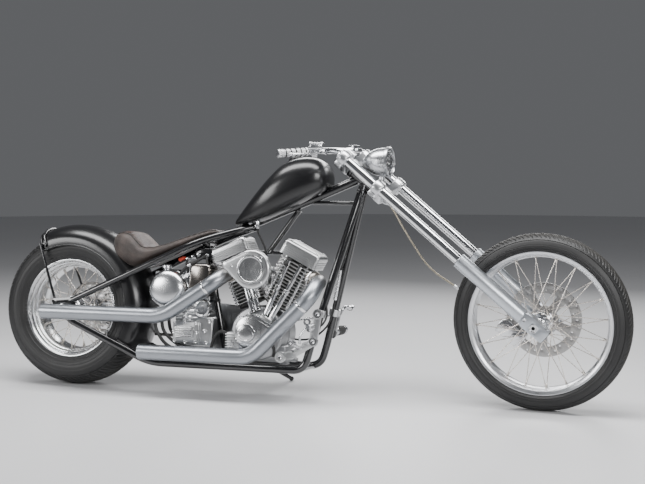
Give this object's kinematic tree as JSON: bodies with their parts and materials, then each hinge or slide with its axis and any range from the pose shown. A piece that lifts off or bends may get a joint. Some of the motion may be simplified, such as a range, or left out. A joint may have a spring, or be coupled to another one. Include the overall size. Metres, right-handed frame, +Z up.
{
  "type": "chopper motorcycle",
  "caption": "Long rigid-frame chopper with a raked fork, V-twin engine, laced wheels, open exhausts and a side stand; wheels spin, fork steers, stand folds.",
  "frame": {"origin": "on the floor under the middle of the bike's bounding box, as it leans on its side stand", "axes": "+X forward, +Y to the rider's left, +Z up"},
  "size_m": [2.6805, 0.7451, 1.0422],
  "materials": {
    "black_paint": "gloss",
    "gloss_black": "deep gloss",
    "seat_leather": "waxed, worn",
    "tyre_rubber": "matt",
    "cast_aluminium": "satin",
    "polished_aluminium": "polished",
    "chromed_steel": "mirror",
    "brushed_steel": "brushed",
    "hose_rubber": "braided"
  },
  "bodies": {
    "frame": {"frame_neck": "black_paint", "backbone": "black_paint", "downtubes": "black_paint", "lower_rails": "black_paint", "seat_rails": "black_paint", "cross_tubes": "black_paint", "axle_plates": "black_paint", "rear_axle": "chromed_steel", "stand_bracket": "black_paint", "engine_case": "cast_aluminium", "cylinders": "cast_aluminium", "rocker_boxes": "polished_aluminium", "cam_cover": "cast_aluminium", "air_cleaner": "polished_aluminium", "primary_cover": "cast_aluminium", "transmission": "cast_aluminium", "oil_tank": "polished_aluminium", "fuel_tank": "gloss_black", "seat": "seat_leather", "rear_fender": "gloss_black", "exhaust_upper": "brushed_steel", "exhaust_lower": "brushed_steel", "forward_control_right": "cast_aluminium", "forward_control_left": "cast_aluminium", "rear_caliper": "cast_aluminium", "drive_chain": "brushed_steel"},
    "front_end": {"triple_clamps": "cast_aluminium", "fork_tubes": "chromed_steel", "fork_sliders": "polished_aluminium", "front_axle": "chromed_steel", "handlebar": "chromed_steel", "hand_controls": "chromed_steel", "headlight": "polished_aluminium", "front_caliper": "cast_aluminium", "brake_hose": "hose_rubber"},
    "front_wheel": {"front_tyre": "tyre_rubber", "front_rim": "polished_aluminium", "front_hub": "polished_aluminium", "front_disc": "brushed_steel"},
    "rear_wheel": {"rear_tyre": "tyre_rubber", "rear_rim": "polished_aluminium", "rear_hub": "polished_aluminium", "rear_sprocket": "brushed_steel"},
    "side_stand": {"side_stand": "black_paint"}
  },
  "joints": [
    {"name": "steering", "type": "hinge", "parent": "frame", "child": "front_end", "pos_m": [0.2753, -0.0045, 0.88895], "axis": [-0.7663, 0.0616, 0.6395], "range_deg": [-23.4, 40.6]},
    {"name": "front_wheel_spin", "type": "hinge", "parent": "front_end", "child": "front_wheel", "pos_m": [0.99355, -0.06338, 0.34795], "axis": [0.0961, 0.9952, 0.0193], "continuous": true},
    {"name": "rear_wheel_spin", "type": "hinge", "parent": "frame", "child": "rear_wheel", "pos_m": [-1.00812, -0.05813, 0.33151], "axis": [0, 0.9954, -0.0958], "continuous": true},
    {"name": "side_stand_fold", "type": "hinge", "parent": "frame", "child": "side_stand", "pos_m": [-0.20804, 0.08873, 0.10419], "axis": [0.0678, 0.5678, 0.8203], "range_deg": [0, 113.8]}
  ]
}
